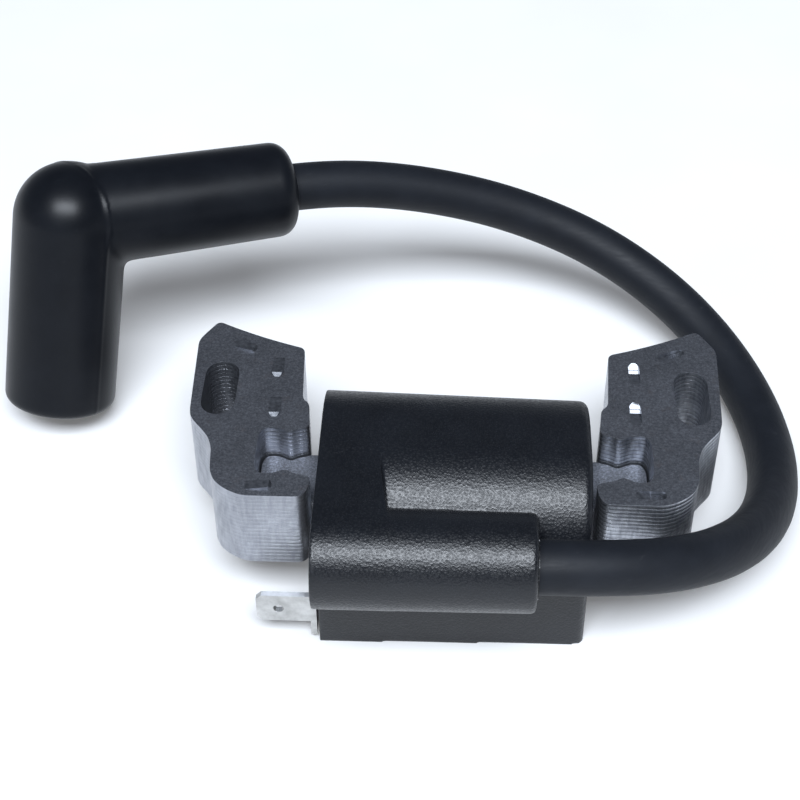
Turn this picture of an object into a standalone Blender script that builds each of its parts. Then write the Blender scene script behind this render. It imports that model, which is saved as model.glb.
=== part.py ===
"""Flywheel ignition coil of a small engine, with its high-tension lead and spark plug boot.

X runs along the core bar, Y points from the high-tension tower to the pole faces, Z is up.
The origin lies under the middle of the core bar, in the flat bottom of the coil housing.
"""

import math

import bmesh
import bpy
import numpy as np
from mathutils import Matrix, Vector

MM = 0.001
GAP = 0.3 * MM

# Pole arms and core bar: stacks of stamped sheets
SHEETS = 18
SHEET_THICKNESS = 0.63 * MM
SHEET_PITCH = 0.68 * MM
ARM_TOP = 21.3 * MM
ARM_BOTTOM = ARM_TOP - SHEETS * SHEET_PITCH + (SHEET_PITCH - SHEET_THICKNESS)
SLOT_SPACING = 63.5 * MM
SLOT_WIDTH = 4.6 * MM
SLOT_LENGTH = 10.75 * MM
SLOT_CENTRE_Y = 11.9 * MM
POLE_RADIUS = 68.7 * MM
POLE_AXIS_Y = 85.8 * MM
DIMPLE_WIDTH = 1.5 * MM
DIMPLE_DEPTH = 1.0 * MM
DIMPLE_HEIGHT = 0.5 * MM
DIMPLE_PLACES = ((29.5, 20.6, 4.2, 26), (24.3, 16.6, 4.6, 90), (24.0, 8.6, 4.6, 90), (25.0, -6.55, 4.0, 0))
BAR_HALF_WIDTH = 4.3 * MM
BAR_TOP = 16.4 * MM
BAR_CENTRE_Z = (ARM_BOTTOM + BAR_TOP) / 2

# Housing and high-tension tower
HOUSING_LEFT = -17.1 * MM
HOUSING_RIGHT = 17.6 * MM
HOUSING_HALF_WIDTH = 13.75 * MM
HOUSING_HEIGHT = 25.4 * MM
CROWN_RADIUS = 11.2 * MM
WALL = 1.5 * MM
DRAFT = 0.0014  # share of the section lost for each millimetre along X
TOWER_RADIUS = 6.2 * MM
TOWER_Y = -16.6 * MM
TOWER_Z = 19.1 * MM
TOWER_MOUTH = 10.5 * MM
BRIDGE_FRONT_X = -8.0 * MM
BRIDGE_SLANT = 0.148  # how far the bridge's right end draws back for each millimetre along Y
BORE_Y = -16.75 * MM
BORE_Z = 18.6 * MM
BORE_BOTTOM = -6.5 * MM
SEAL_RADIUS = 4.15 * MM
SEAL_DEPTH = 0.8 * MM

# High-tension lead and boot
LEAD_RADIUS = 3.5 * MM
LEAD_CLEARANCE = 0.4 * MM
BOOT_ELBOW = Vector((-55.75, 37.85, 30.0)) * MM
BOOT_ENTRY = Vector((-25.35, 49.95, 27.5)) * MM
BOOT_MOUTH = Vector((-59.2, 28.5, 3.2)) * MM
PLUG_LEG_RADIUS = 8.1 * MM
CABLE_LEG_RADIUS = 7.0 * MM
CABLE_LEG_ROOT_RADIUS = 7.35 * MM
SOCKET_RADIUS = 5.2 * MM
LEAD_DEPTH_IN_BOOT = 20.0 * MM
CABLE_LEG = (BOOT_ENTRY - BOOT_ELBOW).normalized()
PLUG_LEG = (BOOT_MOUTH - BOOT_ELBOW).normalized()
CABLE_LEG_LENGTH = (BOOT_ENTRY - BOOT_ELBOW).length
PLUG_LEG_LENGTH = (BOOT_MOUTH - BOOT_ELBOW).length

# The lead's route from the tower to the boot, millimetres
LEAD_ROUTE = [
    (-2.0, -16.75, 18.6), (4.0, -16.75, 18.6), (10.9, -16.75, 18.6), (17.05, -16.2, 18.05),
    (21.5, -15.25, 17.25), (26.2, -13.55, 15.95), (30.15, -11.4, 14.55), (33.4, -8.95, 13.1),
    (36.5, -5.9, 11.5), (39.05, -2.6, 9.95), (43.1, 5.65, 6.9), (45.05, 14.25, 4.8), (45.35, 22.2, 3.8),
    (44.4, 29.4, 3.7), (42.1, 36.65, 4.45), (38.35, 43.5, 6.05), (33.4, 49.1, 8.25), (27.4, 53.4, 10.85),
    (20.2, 56.4, 13.85), (12.75, 57.75, 16.75), (5.0, 57.8, 19.65), (-2.85, 56.75, 22.35),
    (-10.65, 54.95, 24.7), (-18.35, 52.55, 26.5),
]
LEAD_POINT_SPACING = 6.0 * MM

PARTS = bpy.data.collections.new("ignition_coil")
CUTTERS = bpy.data.collections.new("cutters")


def clear_scene():
    for thing in list(bpy.data.objects):
        bpy.data.objects.remove(thing, do_unlink=True)
    for collection in (PARTS, CUTTERS):
        bpy.context.scene.collection.children.link(collection)


def make_material(name, colour, roughness, metallic=0.0):
    material = bpy.data.materials.new(name)
    material.use_nodes = True
    shader = material.node_tree.nodes["Principled BSDF"]
    shader.inputs["Base Color"].default_value = (*colour, 1.0)
    shader.inputs["Roughness"].default_value = roughness
    shader.inputs["Metallic"].default_value = metallic
    return material


# Object helpers

def add_mesh(name, mesh, collection=PARTS):
    thing = bpy.data.objects.new(name, mesh)
    collection.objects.link(thing)
    if collection is CUTTERS:
        thing.hide_render = True
        thing.display_type = "WIRE"
    return thing


def mesh_of(thing):
    """The object's evaluated mesh in world space, with loose caps welded."""
    bpy.context.view_layer.update()
    evaluated = thing.evaluated_get(bpy.context.evaluated_depsgraph_get())
    mesh = bpy.data.meshes.new_from_object(evaluated)
    mesh.transform(thing.matrix_world)
    edit = bmesh.new()
    edit.from_mesh(mesh)
    bmesh.ops.remove_doubles(edit, verts=edit.verts, dist=1e-6)
    bmesh.ops.recalc_face_normals(edit, faces=edit.faces)
    edit.to_mesh(mesh)
    edit.free()
    return mesh


def merge_flat_faces(thing):
    """Makes each flat end one face, so that its rim bevels cleanly."""
    edit = bmesh.new()
    edit.from_mesh(thing.data)
    bmesh.ops.dissolve_limit(edit, angle_limit=math.radians(0.5), verts=edit.verts, edges=edit.edges)
    edit.to_mesh(thing.data)
    edit.free()


def settle(thing, name, collection=PARTS):
    """Replaces a curve or a stack of modifiers by its plain mesh, in world space."""
    mesh = mesh_of(thing)
    data = thing.data
    bpy.data.objects.remove(thing, do_unlink=True)
    if isinstance(data, bpy.types.Curve):
        bpy.data.curves.remove(data)
    return add_mesh(name, mesh, collection)


def outline_solid(name, outlines, low, high, along="Z", collection=PARTS):
    """A flat outline, with holes, made solid from low to high along Z, or along X from (Y, Z) points."""
    curve = bpy.data.curves.new(name, "CURVE")
    curve.dimensions = "2D"
    curve.fill_mode = "BOTH"
    curve.extrude = (high - low) / 2
    for outline in outlines:
        spline = curve.splines.new("POLY")
        spline.points.add(len(outline) - 1)
        for point, (across, up) in zip(spline.points, outline):
            point.co = (across, up, 0.0, 1.0)
        spline.use_cyclic_u = True
    thing = bpy.data.objects.new(name, curve)
    collection.objects.link(thing)
    middle = (low + high) / 2
    if along == "X":
        thing.matrix_world = Matrix(((0, 0, 1, middle), (1, 0, 0, 0), (0, 1, 0, 0), (0, 0, 0, 1)))
    elif along == "Y":
        thing.matrix_world = Matrix(((1, 0, 0, 0), (0, 0, -1, middle), (0, 1, 0, 0), (0, 0, 0, 1)))
    else:
        thing.location.z = middle
    return settle(thing, name, collection)


def block(name, low, high, collection=PARTS):
    edit = bmesh.new()
    size = [top - bottom for bottom, top in zip(low, high)]
    centre = [(bottom + top) / 2 for bottom, top in zip(low, high)]
    bmesh.ops.create_cube(edit, size=1.0, matrix=Matrix.Translation(centre) @ Matrix.Diagonal((*size, 1.0)))
    mesh = bpy.data.meshes.new(name)
    edit.to_mesh(mesh)
    edit.free()
    return add_mesh(name, mesh, collection)


def turned(name, profile, origin, direction, sides=32, collection=PARTS):
    """A solid of revolution: profile holds (radius, distance) pairs, farthest distance first."""
    mesh = bpy.data.meshes.new(name)
    mesh.from_pydata([(radius, 0.0, along) for radius, along in profile],
                     [(step, step + 1) for step in range(len(profile) - 1)], [])
    thing = add_mesh(name, mesh, collection)
    screw = thing.modifiers.new("turn", "SCREW")
    screw.steps = screw.render_steps = sides
    screw.use_merge_vertices = True
    screw.merge_threshold = 1e-6
    thing.matrix_world = Matrix.Translation(origin) @ direction.to_track_quat("Z", "Y").to_matrix().to_4x4()
    return settle(thing, name, collection)


def ring(name, inner, outer, start, end, origin, direction, sides=32, collection=PARTS):
    profile = [(inner, end), (outer, end), (outer, start), (inner, start), (inner, end)]
    return turned(name, profile, origin, direction, sides, collection)


def rod(name, radius, start, end, origin, direction, sides=32, collection=PARTS):
    profile = [(0.0, end), (radius, end), (radius, start), (0.0, start)]
    return turned(name, profile, origin, direction, sides, collection)


def combine(thing, others, operation):
    """Joins to the first object, cuts from it, or keeps in common with it each of the others in turn."""
    name = thing.name
    for other in others:
        boolean = thing.modifiers.new(operation.lower(), "BOOLEAN")
        boolean.operation = operation
        boolean.solver = "EXACT"
        boolean.object = other
        mesh = mesh_of(thing)
        bpy.data.objects.remove(thing, do_unlink=True)
        if operation != "DIFFERENCE":
            bpy.data.objects.remove(other, do_unlink=True)
        thing = add_mesh(name, mesh)
    return thing


def tube(name, points, radius, resolution=2):
    curve = bpy.data.curves.new(name, "CURVE")
    curve.dimensions = "3D"
    curve.bevel_depth = radius
    curve.bevel_resolution = resolution
    curve.use_fill_caps = True
    spline = curve.splines.new("POLY")
    spline.points.add(len(points) - 1)
    for point, place in zip(spline.points, points):
        point.co = (*place, 1.0)
    thing = bpy.data.objects.new(name, curve)
    PARTS.objects.link(thing)
    return settle(thing, name)


def finish(thing, material, smooth=False):
    thing.data.materials.clear()
    thing.data.materials.append(material)
    if smooth:
        thing.data.shade_smooth()
        thing.data.set_sharp_from_angle(angle=math.radians(35))
    return thing


# Outline helpers

def arc(centre, radius, start, end, steps):
    """Points on a circle from start to end degrees, both included."""
    angles = np.radians(np.linspace(start, end, steps + 1))
    return [(centre[0] + radius * math.cos(a), centre[1] + radius * math.sin(a)) for a in angles]


def scaled(points):
    return [(across * MM, up * MM) for across, up in points]


def rounded_rectangle(half_width, half_height, radius, centre=(0.0, 0.0), steps=4):
    points = []
    for quarter, (side, top) in enumerate(((1, 1), (-1, 1), (-1, -1), (1, -1))):
        corner = (centre[0] + side * (half_width - radius), centre[1] + top * (half_height - radius))
        points += arc(corner, radius, 90 * quarter, 90 * quarter + 90, steps)
    return points


def smooth_path(route, spacing):
    """Evenly spaced points on the natural cubic spline through the route."""
    knots = np.array(route)
    count = len(knots)
    lengths = np.linalg.norm(np.diff(knots, axis=0), axis=1)
    at = np.concatenate([[0.0], np.cumsum(lengths)])
    system = np.eye(count)
    right = np.zeros_like(knots)
    for i in range(1, count - 1):
        before, after = lengths[i - 1], lengths[i]
        system[i, i - 1:i + 2] = (before, 2 * (before + after), after)
        right[i] = 6 * ((knots[i + 1] - knots[i]) / after - (knots[i] - knots[i - 1]) / before)
    bend = np.linalg.solve(system, right)
    steps = max(2, round(at[-1] / spacing))
    points = []
    for s in np.linspace(0.0, at[-1], steps + 1):
        i = min(int(np.searchsorted(at, s, side="right")) - 1, count - 2)
        span = lengths[i]
        a, b = (at[i + 1] - s) / span, (s - at[i]) / span
        points.append(a * knots[i] + b * knots[i + 1]
                      + ((a ** 3 - a) * bend[i] + (b ** 3 - b) * bend[i + 1]) * span ** 2 / 6)
    return [Vector(point) for point in points]


# Laminated core

def arm_outline():
    """The right arm's sheet, as (X, Y): pole face, inner flank, bar notch, foot, outer flank."""
    pole_angles = [math.degrees(math.asin(x * MM / POLE_RADIUS)) for x in (33.5, 20.95)]
    pole = arc((0.0, POLE_AXIS_Y), POLE_RADIUS, -90 + pole_angles[0], -90 + pole_angles[1], 8)
    notch_back = [(19.1, 4.7), (19.9, 4.3), (20.7, 4.1), (21.56, 3.47), (22.5, 3.9), (23.35, 4.37),
                  (24.8, 4.32), (25.3, 3.8), (25.7, 2.66)]
    notch_front = [(x, -y) for x, y in reversed(notch_back[1:])]
    foot = [(18.2, -4.8), (18.3, -6.0), (18.5, -7.1), (18.9, -7.9), (19.6, -8.4), (26.7, -8.4), (28.5, -7.6),
            (29.7, -6.7), (30.6, -5.7), (31.2, -4.2), (31.35, -3.2), (31.6, 0.2)]
    flank = [(32.25, 2.2), (33.4, 3.8), (34.6, 5.3), (35.1, 6.3), (35.3, 7.4), (35.85, 21.4), (35.4, 22.6)]
    inner = [(20.4, 9.95), (19.45, 9.1)]
    return pole + scaled(inner + notch_back + notch_front + foot + flank)


def slot_outline(centre_x, centre_y, width, length, steps=6):
    """A slot with round ends, its long side along Y."""
    radius, straight = width / 2, (length - width) / 2
    return (arc((centre_x, centre_y + straight), radius, 0, 180, steps)
            + arc((centre_x, centre_y - straight), radius, 180, 360, steps))


def dimples(vee, turning_point):
    """Vee-shaped prisms at the right arm's interlock dimples, which DIMPLE_PLACES gives as X, Y, length and
    degrees from X. vee is the height of the bottom or ridge over the top face, and turning_point its place
    along the length."""
    away = -0.05 * MM if vee > 0 else 0.05 * MM
    prisms = []
    for x, y, length, turn in DIMPLE_PLACES:
        half = length * MM / 2
        section = [(-half, away), (-half, 6 * away), (half, 6 * away), (half, away), (turning_point * half, vee)]
        prism = outline_solid("dimple", [section], -DIMPLE_WIDTH / 2, DIMPLE_WIDTH / 2, "Y", CUTTERS)
        prism.matrix_world = (Matrix.Translation((x * MM, y * MM, ARM_TOP))
                              @ Matrix.Rotation(math.radians(turn), 4, "Z"))
        prisms.append(settle(prism, "dimple", CUTTERS))
    return prisms


def mirrored(thing, name):
    """The same piece on the other side of the plane X = 0."""
    mesh = thing.data.copy()
    mesh.transform(Matrix.Diagonal((-1, 1, 1, 1)))
    mesh.flip_normals()
    return add_mesh(name, mesh)


def build_arms(steel):
    outline = arm_outline()
    slot = slot_outline(SLOT_SPACING / 2, SLOT_CENTRE_Y, SLOT_WIDTH, SLOT_LENGTH)
    recesses = dimples(-DIMPLE_DEPTH, 0.0)
    bumps = dimples(DIMPLE_HEIGHT, -0.5)
    top_sheet = SHEETS - 1
    for sheet in range(SHEETS):
        low = ARM_BOTTOM + sheet * SHEET_PITCH
        name = "lamination_%02d" % (sheet + 1)
        right = outline_solid("right_" + name, [outline, slot], low, low + SHEET_THICKNESS)
        left = mirrored(right, "left_" + name)
        if sheet == top_sheet:
            left = combine(left, [mirrored(bump, "left_bump") for bump in bumps], "UNION")
        if sheet >= top_sheet - 1:
            right = combine(right, recesses, "DIFFERENCE")
        finish(right, steel)
        finish(left, steel)


def bar_outline():
    """The core bar with its two puzzle-shaped ends, as (X, Y)."""
    end = scaled([(17.9, -4.3), (19.0, -4.3), (19.8, -3.95), (20.6, -3.75), (21.56, -3.1), (22.4, -3.5),
                  (23.4, -4.0), (24.6, -3.95), (25.0, -3.6), (25.4, -2.5)])
    right = end + [(x, -y) for x, y in reversed(end)]
    return right + [(-x, -y) for x, y in right]


def build_bar(steel):
    finish(outline_solid("core_bar", [bar_outline()], ARM_BOTTOM, BAR_TOP), steel)


# Housing

def body_outline(inset=0.0):
    """The body's section, as (Y, Z): flat sides and bottom under a wide rounded crown."""
    shoulder_y, shoulder_z = HOUSING_HALF_WIDTH - CROWN_RADIUS, HOUSING_HEIGHT - CROWN_RADIUS
    radius, half = CROWN_RADIUS - inset, HOUSING_HALF_WIDTH - inset
    return ([(-half, inset), (half, inset)]
            + arc((shoulder_y, shoulder_z), radius, 0, 90, 12)
            + arc((-shoulder_y, shoulder_z), radius, 90, 180, 12))


def bridge_outline(inset=0.0):
    """The section, as (Y, Z), of the block that joins the tower's root to the body under a flat top."""
    radius = TOWER_RADIUS + 0.15 * MM - inset
    top = TOWER_Z + radius
    return ([(2 * MM, TOWER_Z - radius), (2 * MM, top)]
            + arc((TOWER_Y, TOWER_Z), radius, 90, 270, 14))


def slant_right_face(thing, inset=0.0):
    """Moves the right end of a solid onto the plane where the bridge ends, nearer the left at the back."""
    for vertex in thing.data.vertices:
        if vertex.co.x > HOUSING_LEFT + 3 * MM:
            vertex.co.x = BRIDGE_FRONT_X - inset - BRIDGE_SLANT * (vertex.co.y + HOUSING_HALF_WIDTH)


def taper(thing):
    """Draws the section in towards the right end, as the mould's draft does, with the bottom kept flat."""
    edit = bmesh.new()
    edit.from_mesh(thing.data)
    for vertex in edit.verts:
        vertex.co.y *= 1 - DRAFT * vertex.co.x / MM
        vertex.co.z *= 1 - DRAFT / 2 * vertex.co.x / MM
    bmesh.ops.triangulate(edit, faces=edit.faces)
    edit.to_mesh(thing.data)
    edit.free()


def build_housing(plastic):
    over = 1 * MM
    body = outline_solid("coil_housing", [body_outline()], HOUSING_LEFT - over, HOUSING_RIGHT, "X")
    merge_flat_faces(body)
    bevel = body.modifiers.new("right_edge", "BEVEL")
    bevel.width = 1.1 * MM
    bevel.segments = 3
    bevel.limit_method = "WEIGHT"
    weights = body.data.attributes.new("bevel_weight_edge", "FLOAT", "EDGE")
    for edge, weight in zip(body.data.edges, weights.data):
        ends = [body.data.vertices[i].co for i in edge.vertices]
        at_right = all(end.x > HOUSING_RIGHT - 0.01 * MM for end in ends)
        on_crown = max(end.z for end in ends) > 1 * MM
        weight.value = 1.0 if at_right and on_crown else 0.0
    body = settle(body, "coil_housing")
    taper(body)
    bridge = outline_solid("bridge", [bridge_outline()], HOUSING_LEFT - 1.5 * over, BRIDGE_FRONT_X, "X")
    slant_right_face(bridge)
    tower = turned("tower", [(0.0, TOWER_MOUTH), (TOWER_RADIUS - 0.5 * MM, TOWER_MOUTH),
                             (TOWER_RADIUS, TOWER_MOUTH - 0.5 * MM), (TOWER_RADIUS, HOUSING_LEFT + 2 * MM),
                             (0.0, HOUSING_LEFT + 2 * MM)],
                   Vector((0, TOWER_Y, TOWER_Z)), Vector((1, 0, 0)), 40)
    body = combine(body, [bridge, tower], "UNION")
    beyond = block("beyond_open_end", (HOUSING_LEFT - 5 * over, -40 * MM, -10 * MM),
                   (HOUSING_LEFT, 40 * MM, 40 * MM), CUTTERS)
    hollow = outline_solid("body_hollow", [body_outline(WALL)], HOUSING_LEFT - 2 * over,
                           HOUSING_RIGHT - WALL, "X", CUTTERS)
    pocket = outline_solid("bridge_hollow", [bridge_outline(WALL)], HOUSING_LEFT - 2.5 * over,
                           BRIDGE_FRONT_X, "X", CUTTERS)
    slant_right_face(pocket, WALL)
    bore = rod("tower_bore", LEAD_RADIUS + LEAD_CLEARANCE, BORE_BOTTOM, TOWER_MOUTH + 1 * MM,
               Vector((0, BORE_Y, BORE_Z)), Vector((1, 0, 0)), 32, CUTTERS)
    seal_seat = rod("seal_seat", SEAL_RADIUS + GAP, TOWER_MOUTH - SEAL_DEPTH - GAP, TOWER_MOUTH + 1 * MM,
                    Vector((0, BORE_Y, BORE_Z)), Vector((1, 0, 0)), 32, CUTTERS)
    stem_hole = rod("stem_hole", 1.4 * MM, -13 * MM, BORE_BOTTOM + 1 * MM,
                    Vector((0, BORE_Y, BORE_Z)), Vector((1, 0, 0)), 16, CUTTERS)
    bar_hole = block("bar_hole", (10 * MM, -BAR_HALF_WIDTH - GAP, ARM_BOTTOM - GAP),
                     (25 * MM, BAR_HALF_WIDTH + GAP, BAR_TOP + GAP), CUTTERS)
    body = combine(body, [beyond, hollow, pocket, bore, seal_seat, stem_hole, bar_hole], "DIFFERENCE")
    finish(body, plastic, smooth=True)


def build_potting(epoxy):
    right, left = HOUSING_LEFT + 2.7 * MM, HOUSING_LEFT + 0.25 * MM
    plug = outline_solid("potting", [body_outline(WALL + GAP)], left - 1 * MM, right + 1 * MM, "X")
    side = outline_solid("potting_side", [bridge_outline(WALL + GAP)], left - 2 * MM, right + 2 * MM, "X")
    slab = block("potting_slab", (left, -40 * MM, -10 * MM), (right, 40 * MM, 40 * MM))
    plug = combine(combine(plug, [side], "UNION"), [slab], "INTERSECT")
    bar_hole = block("potting_bar_hole", (-20 * MM, -BAR_HALF_WIDTH - GAP, ARM_BOTTOM - GAP),
                     (-10 * MM, BAR_HALF_WIDTH + GAP, BAR_TOP + GAP), CUTTERS)
    leg_hole = block("terminal_leg_hole", (-20 * MM, -11.0 * MM, 2.2 * MM),
                     (-10 * MM, -9.4 * MM, 7.0 * MM), CUTTERS)
    strap_hole = block("strap_leg_hole", (-20 * MM, -8.7 * MM, 10.0 * MM),
                       (-10 * MM, -7.5 * MM, 13.4 * MM), CUTTERS)
    plug = combine(plug, [bar_hole, leg_hole, strap_hole], "DIFFERENCE")
    finish(plug, epoxy)


# Windings and bobbins around the core bar

def sleeve(name, inner, outer, start, end):
    """A rectangular tube along X around the bar, given as (half width, half height, corner radius) pairs."""
    centre = (0.0, BAR_CENTRE_Z)
    outlines = [rounded_rectangle(*[size * MM for size in section], centre) for section in (outer, inner)]
    return outline_solid(name, outlines, start * MM, end * MM, "X")


def bobbin(name, inner, wall, flange, start, end, flanges, plastic):
    """A sleeve with flanges: wall is its thickness, and flanges lists each flange's (start, end)."""
    outer = (inner[0] + wall, inner[1] + wall, inner[2] + wall)
    tube_part = sleeve(name, inner, outer, start + 0.2, end - 0.2)
    rims = [sleeve("%s_rim_%d" % (name, index), (inner[0] + wall / 2, inner[1] + wall / 2, inner[2]),
                   flange, low, high) for index, (low, high) in enumerate(flanges)]
    finish(combine(tube_part, rims, "UNION"), plastic)


def build_windings(materials):
    bobbin("trigger_bobbin", (4.6, 3.95, 0.4), 0.9, (7.4, 6.8, 1.5), -13.9, -10.2,
           [(-13.9, -13.2), (-10.9, -10.2)], materials["bobbin"])
    finish(sleeve("trigger_winding", (5.8, 5.2, 1.5), (6.9, 6.3, 2.4), -12.9, -11.2), materials["copper"])
    bobbin("primary_bobbin", (4.6, 3.95, 0.4), 0.9, (7.8, 7.1, 1.5), -9.8, 15.8,
           [(-9.8, -9.0), (15.0, 15.8)], materials["bobbin"])
    finish(sleeve("primary_winding", (5.8, 5.2, 1.5), (7.5, 6.8, 2.8), -8.7, 14.7), materials["copper"])
    bobbin("secondary_bobbin", (8.2, 7.5, 2.0), 0.8, (10.9, 10.2, 7.0), -9.0, 15.7,
           [(-9.0, -8.2), (14.9, 15.7)], materials["bobbin"])
    finish(sleeve("secondary_winding", (9.3, 8.6, 3.0), (10.6, 9.9, 6.8), -7.9, 14.6), materials["copper"])


def build_module(materials):
    """Circuit board in the bridge, parallel to its open end, with the two largest components on it."""
    board = block("module_board", (-14.0 * MM, -19.6 * MM, 16.4 * MM), (-13.2 * MM, -12.9 * MM, 22.0 * MM))
    finish(board, materials["board"])
    transistor = block("power_transistor", (-12.9 * MM, -19.0 * MM, 16.8 * MM),
                       (-11.8 * MM, -15.2 * MM, 20.0 * MM))
    finish(transistor, materials["transistor"])
    resistor = rod("base_resistor", 0.8 * MM, 0.0, 4.6 * MM, Vector((-12.0, -18.6, 21.2)) * MM,
                   Vector((0, 1, 0)), 16)
    finish(resistor, materials["resistor"], smooth=True)


def build_terminals(materials):
    blade = outline_solid("kill_terminal", [scaled([(-25.2, 4.2), (-24.5, 3.5), (-17.5, 3.5), (-17.5, 8.25),
                                                    (-24.5, 8.25), (-25.2, 7.55)]),
                                            arc((-22.3 * MM, 5.87 * MM), 0.7 * MM, 0, 330, 11)],
                          -13.6 * MM, -12.8 * MM, "Y")
    foot = block("terminal_foot", (-18.2 * MM, -13.6 * MM, 0.9 * MM), (-17.4 * MM, -9.6 * MM, 8.7 * MM))
    leg = block("terminal_leg", (-18.0 * MM, -10.6 * MM, 2.6 * MM), (-15.0 * MM, -9.8 * MM, 6.6 * MM))
    finish(combine(blade, [foot, leg], "UNION"), materials["tin"])
    strap = block("ground_strap", (-17.9 * MM, -8.3 * MM, 10.4 * MM), (-17.5 * MM, -4.6 * MM, 13.0 * MM))
    strap_leg = block("strap_leg", (-17.9 * MM, -8.3 * MM, 10.4 * MM), (-15.0 * MM, -7.9 * MM, 13.0 * MM))
    finish(combine(strap, [strap_leg], "UNION"), materials["tin"])
    contact = turned("ht_contact", scaled([(0.0, -2.3), (0.6, -3.0), (2.4, -3.2), (2.4, -3.8),
                                           (1.0, -4.0), (1.0, -10.4), (0.0, -10.4)]),
                     Vector((0, BORE_Y, BORE_Z)), Vector((1, 0, 0)), 24)
    finish(contact, materials["brass"], smooth=True)
    link = [(-10.85, -16.75, 18.6), (-10.95, -15.0, 18.2), (-10.9, -13.2, 17.0), (-10.6, -11.9, 15.2),
            (-10.1, -11.0, 13.4), (-9.75, -10.2, 12.4)]
    finish(tube("ht_link_wire", smooth_path([Vector(point) * MM for point in link], 1.2 * MM), 0.35 * MM),
           materials["copper"], smooth=True)


# High-tension lead and boot

def build_lead(rubber, sealant):
    inside_boot = BOOT_ENTRY - CABLE_LEG * LEAD_DEPTH_IN_BOOT
    route = [Vector(point) * MM for point in LEAD_ROUTE]
    route += [BOOT_ENTRY, BOOT_ENTRY - CABLE_LEG * 6.0 * MM, inside_boot]
    finish(tube("ht_lead", smooth_path(route, LEAD_POINT_SPACING), LEAD_RADIUS, 3), rubber, smooth=True)
    bead = ring("lead_sealant", LEAD_RADIUS + GAP, SEAL_RADIUS, TOWER_MOUTH - SEAL_DEPTH,
                TOWER_MOUTH + 0.2 * MM, Vector((0, BORE_Y, BORE_Z)), Vector((1, 0, 0)), 24)
    finish(bead, sealant, smooth=True)


def build_boot(rubber, brass):
    cable_leg = turned("plug_boot", [(0.0, CABLE_LEG_LENGTH),
                                     (CABLE_LEG_RADIUS - 0.6 * MM, CABLE_LEG_LENGTH),
                                     (CABLE_LEG_RADIUS, CABLE_LEG_LENGTH - 0.6 * MM),
                                     (CABLE_LEG_ROOT_RADIUS, 0.0), (0.0, 0.0)], BOOT_ELBOW, CABLE_LEG, 36)
    plug_leg = turned("plug_leg", [(0.0, PLUG_LEG_LENGTH), (PLUG_LEG_RADIUS - 0.5 * MM, PLUG_LEG_LENGTH),
                                   (PLUG_LEG_RADIUS, PLUG_LEG_LENGTH - 0.5 * MM), (PLUG_LEG_RADIUS, 0.0),
                                   (0.0, 0.0)], BOOT_ELBOW, PLUG_LEG, 36)
    dome_steps = [math.radians(angle) for angle in range(90, -91, -15)]
    dome = turned("dome", [(PLUG_LEG_RADIUS * math.cos(a) if abs(math.cos(a)) > 1e-6 else 0.0,
                            PLUG_LEG_RADIUS * math.sin(a)) for a in dome_steps], BOOT_ELBOW, PLUG_LEG, 36)
    boot = combine(cable_leg, [plug_leg, dome], "UNION")
    socket = rod("plug_socket", SOCKET_RADIUS, -3.0 * MM, PLUG_LEG_LENGTH + 2 * MM,
                 BOOT_ELBOW, PLUG_LEG, 32, CUTTERS)
    lead_bore = rod("lead_bore", LEAD_RADIUS + LEAD_CLEARANCE, -2.0 * MM, CABLE_LEG_LENGTH + 2 * MM,
                    BOOT_ELBOW, CABLE_LEG, 32, CUTTERS)
    finish(combine(boot, [socket, lead_bore], "DIFFERENCE"), rubber, smooth=True)
    clip = turned("plug_terminal", scaled([(2.9, 18.0), (4.6, 18.0), (4.8, 17.0), (4.8, 8.4), (4.2, 7.6),
                                           (0.0, 7.6), (0.0, 8.4), (2.9, 8.4), (2.9, 18.0)]),
                  BOOT_ELBOW, PLUG_LEG, 28)
    finish(clip, brass, smooth=True)
    start = BOOT_ENTRY - CABLE_LEG * (LEAD_DEPTH_IN_BOOT + GAP)
    spike = [start, BOOT_ELBOW + CABLE_LEG * 6 * MM, BOOT_ELBOW + CABLE_LEG * 3 * MM + PLUG_LEG * 0.6 * MM,
             BOOT_ELBOW + PLUG_LEG * 3 * MM, BOOT_ELBOW + PLUG_LEG * (7.6 * MM - GAP)]
    finish(tube("terminal_spike", smooth_path(spike, 1.5 * MM), 0.8 * MM), brass, smooth=True)


def main():
    clear_scene()
    materials = {
        "steel": make_material("lamination_steel", (0.22, 0.21, 0.20), 0.5, 0.8),
        "plastic": make_material("housing_plastic", (0.018, 0.018, 0.02), 0.45),
        "epoxy": make_material("potting_epoxy", (0.03, 0.028, 0.026), 0.35),
        "bobbin": make_material("bobbin_plastic", (0.55, 0.5, 0.4), 0.5),
        "copper": make_material("winding_copper", (0.7, 0.3, 0.14), 0.35, 0.9),
        "board": make_material("board_laminate", (0.05, 0.2, 0.08), 0.5),
        "transistor": make_material("transistor_case", (0.02, 0.02, 0.02), 0.5),
        "resistor": make_material("resistor_body", (0.5, 0.38, 0.22), 0.5),
        "tin": make_material("tinned_steel", (0.62, 0.61, 0.58), 0.35, 0.9),
        "brass": make_material("terminal_brass", (0.72, 0.55, 0.25), 0.35, 0.9),
        "sealant": make_material("sealant", (0.06, 0.06, 0.062), 0.4),
        "lead": make_material("lead_jacket", (0.02, 0.021, 0.025), 0.5),
        "boot": make_material("boot_rubber", (0.016, 0.016, 0.018), 0.42),
    }
    build_arms(materials["steel"])
    build_bar(materials["steel"])
    build_housing(materials["plastic"])
    build_potting(materials["epoxy"])
    build_windings(materials)
    build_module(materials)
    build_terminals(materials)
    build_lead(materials["lead"], materials["sealant"])
    build_boot(materials["boot"], materials["brass"])


main()
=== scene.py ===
"""Looks of a small engine's ignition coil: laminated core, moulded housing, lead and spark plug boot."""

import math

import bmesh
import bpy
import numpy as np
from mathutils import Matrix, Vector


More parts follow.
